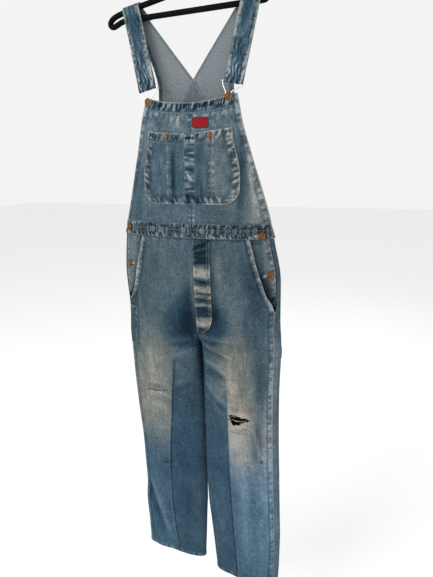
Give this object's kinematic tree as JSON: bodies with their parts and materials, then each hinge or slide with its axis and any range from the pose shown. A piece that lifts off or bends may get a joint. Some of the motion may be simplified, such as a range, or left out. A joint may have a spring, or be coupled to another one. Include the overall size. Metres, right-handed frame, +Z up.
{
  "type": "bib overalls on a hanger",
  "caption": "Worn bib overalls in faded denim with a patch pocket on the bib, hooked straps and open hems, hung by the straps on a tubular hanger.",
  "frame": {"origin": "inside top of the hanger's hook, where the rail bears", "axes": "+Z up, +X to the viewer's right across the shoulders, -Y towards the front of the garment"},
  "size_m": [0.4617, 0.1044, 1.7059],
  "materials": {
    "denim": "faded cotton twill, matt, worn pale at thighs and edges",
    "red_cloth": "woven cloth, matt",
    "copper": "aged copper, half matt",
    "nickel": "bright nickel plate",
    "black_plastic": "smooth black, half gloss"
  },
  "bodies": {
    "root": {"bib_left": "denim", "bib_right": "denim", "front_outer_left": "denim", "front_outer_right": "denim", "front_inner_left": "denim", "front_inner_right": "denim", "back_leg_left": "denim", "back_leg_right": "denim", "hip_facing_left": "denim", "hip_facing_right": "denim", "back_upper_left": "denim", "back_upper_right": "denim", "waistband_left": "denim", "waistband_right": "denim", "strap_left": "denim", "strap_right": "denim", "bib_band": "denim", "bib_pocket": "denim", "fly_placket": "denim", "rule_pocket": "denim", "hammer_loop": "denim", "back_patch": "denim", "label_patch": "red_cloth", "bib_button_left": "copper", "bib_button_right": "copper", "pocket_rivet_left": "copper", "pocket_rivet_right": "copper", "side_button_left_upper": "copper", "side_button_left_lower": "copper", "side_button_right_upper": "copper", "side_button_right_lower": "copper", "strap_hook_left": "nickel", "strap_hook_right": "nickel", "hanger_frame": "black_plastic", "hanger_hook": "black_plastic"}
  },
  "joints": []
}
